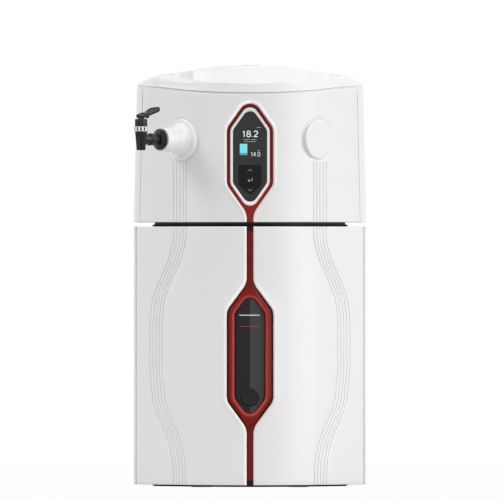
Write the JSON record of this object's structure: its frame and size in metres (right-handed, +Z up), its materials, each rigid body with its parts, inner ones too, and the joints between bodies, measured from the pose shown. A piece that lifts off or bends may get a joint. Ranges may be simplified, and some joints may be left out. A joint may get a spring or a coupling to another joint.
{
  "type": "laboratory ultrapure water system",
  "caption": "Stacked bench water purifier: dispensing module with tap, display and lid on a purification module with hinged front doors round a red spine.",
  "frame": {"origin": "centre of the overall box on the surface that the feet stand on", "axes": "+Z up, +Y from the display front towards the back, +X to the right of someone facing the display"},
  "size_m": [0.41, 0.4439, 0.7423],
  "materials": {
    "white_gloss": "semi-gloss moulded",
    "off_white": "satin moulded",
    "red_gloss": "gloss dark red",
    "black_gloss": "gloss black",
    "black_matte": "matte black",
    "dark_grey": "satin dark grey",
    "rubber": "matte",
    "steel": "brushed stainless",
    "display_glass": "gloss tinted cover",
    "screen": "dark screen on a board",
    "circuit_board": "green solder mask",
    "hose": "translucent tube",
    "tank": "translucent natural polymer"
  },
  "bodies": {
    "housing": {"plinth": "black_matte", "rubber_feet": "rubber", "base_tray": "off_white", "cabinet_shell": "white_gloss", "top_deck": "off_white", "centre_column": "off_white", "bulkhead_panel": "steel", "front_spine": "red_gloss", "spine_end_caps": "dark_grey", "spine_panel": "dark_grey", "button_spring": "steel", "door_catches": "dark_grey", "hinge_pins": "steel", "left_cartridge": "off_white", "right_cartridge": "off_white", "docking_manifold": "dark_grey", "uv_chamber": "steel", "ultrafilter": "off_white", "circulation_pump": "dark_grey", "solenoid_valves": "black_matte", "water_hoses": "hose", "power_supply": "steel", "control_board": "circuit_board", "service_panel": "steel", "water_fittings": "off_white", "mains_inlet": "black_matte", "cover_screws": "steel", "lower_dock_plate": "black_matte", "upper_dock_plate": "dark_grey", "upper_base_pan": "off_white", "upper_fascia": "white_gloss", "upper_housing": "white_gloss", "display_ring": "red_gloss", "display_border": "white_gloss", "display_glass": "display_glass", "screen_module": "screen", "keypad_mat": "rubber", "port_blank": "white_gloss", "port_nuts": "off_white", "tap_boss": "white_gloss", "tap_flange_nut": "black_gloss", "tap_body": "black_gloss", "tap_collar": "white_gloss", "tap_bonnet": "black_gloss", "tap_lever_pin": "steel", "tap_spring": "steel", "reservoir_tank": "tank", "tank_cap": "dark_grey", "level_sensor": "black_matte"},
    "left_door": {"left_door": "white_gloss"},
    "right_door": {"right_door": "white_gloss"},
    "lid": {"lid": "white_gloss", "crest_strip": "red_gloss"},
    "tap_lever": {"tap_lever": "black_gloss"},
    "tap_stem": {"tap_stem": "steel"},
    "key_up": {"key_up": "dark_grey"},
    "key_enter": {"key_enter": "dark_grey"},
    "key_down": {"key_down": "dark_grey"},
    "release_button": {"release_button": "black_matte"},
    "rocker_switch": {"rocker_switch": "dark_grey"}
  },
  "joints": [
    {"name": "left_door_hinge", "type": "hinge", "parent": "housing", "child": "left_door", "pos_m": [-0.1962, -0.05042, 0.23], "axis": [0, 0, -1], "range_deg": [0, 100]},
    {"name": "right_door_hinge", "type": "hinge", "parent": "housing", "child": "right_door", "pos_m": [0.1962, -0.05042, 0.23], "axis": [0, 0, 1], "range_deg": [0, 100]},
    {"name": "lid_hinge", "type": "hinge", "parent": "housing", "child": "lid", "pos_m": [0, 0.181, 0.715], "axis": [-1, 0, 0], "range_deg": [0, 75]},
    {"name": "tap_lever_pivot", "type": "hinge", "parent": "housing", "child": "tap_lever", "pos_m": [-0.19092, -0.20892, 0.6517], "axis": [0.7071, -0.7071, 0], "range_deg": [0, 60]},
    {"name": "tap_stem_slide", "type": "slide", "parent": "housing", "child": "tap_stem", "axis": [0, 0, 1], "range_m": [0, 0.003], "deforming": ["tap_spring"]},
    {"name": "key_up_press", "type": "slide", "parent": "housing", "child": "key_up", "axis": [0, 1, 0], "range_m": [0, 0.0006], "stiffness_N_per_m": 1500, "springref_m": -0.0004},
    {"name": "key_enter_press", "type": "slide", "parent": "housing", "child": "key_enter", "axis": [0, 1, 0], "range_m": [0, 0.0006], "stiffness_N_per_m": 1500, "springref_m": -0.0004},
    {"name": "key_down_press", "type": "slide", "parent": "housing", "child": "key_down", "axis": [0, 1, 0], "range_m": [0, 0.0006], "stiffness_N_per_m": 1500, "springref_m": -0.0004},
    {"name": "release_button_press", "type": "slide", "parent": "housing", "child": "release_button", "axis": [0, 1, 0], "range_m": [0, 0.0025], "stiffness_N_per_m": 900, "springref_m": -0.002, "deforming": ["button_spring"]},
    {"name": "rocker_pivot", "type": "hinge", "parent": "housing", "child": "rocker_switch", "pos_m": [0.07, 0.1795, 0.0852], "axis": [1, 0, 0], "range_deg": [0, 16]}
  ],
  "couplings": [
    {"joint": "tap_lever_pivot", "follows": "tap_stem_slide", "rad_per_m": 349.06}
  ]
}
